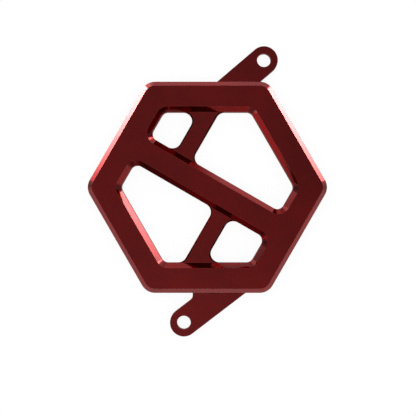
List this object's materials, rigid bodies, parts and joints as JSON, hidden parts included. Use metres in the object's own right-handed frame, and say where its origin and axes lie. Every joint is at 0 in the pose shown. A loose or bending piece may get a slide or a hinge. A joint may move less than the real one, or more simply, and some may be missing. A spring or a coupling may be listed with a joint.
{
  "type": "electric motor cover",
  "caption": "Flat open hexagonal guard with a bevelled rim, a diagonal spine, lower webs and thin ears for its bolts. It covers the side of a small motorbike's electric motor.",
  "frame": {"origin": "centre of the hexagonal rim, on the flat back face", "axes": "+Z out of the front face, +Y toward the upper ear along the longest side, +X to the right as the front is seen"},
  "size_m": [0.1456, 0.1776, 0.011],
  "materials": {
    "red_anodised": "dark red anodised, polished to a mirror-like gloss"
  },
  "bodies": {
    "root": {"motor_cover": "red_anodised"}
  },
  "joints": []
}
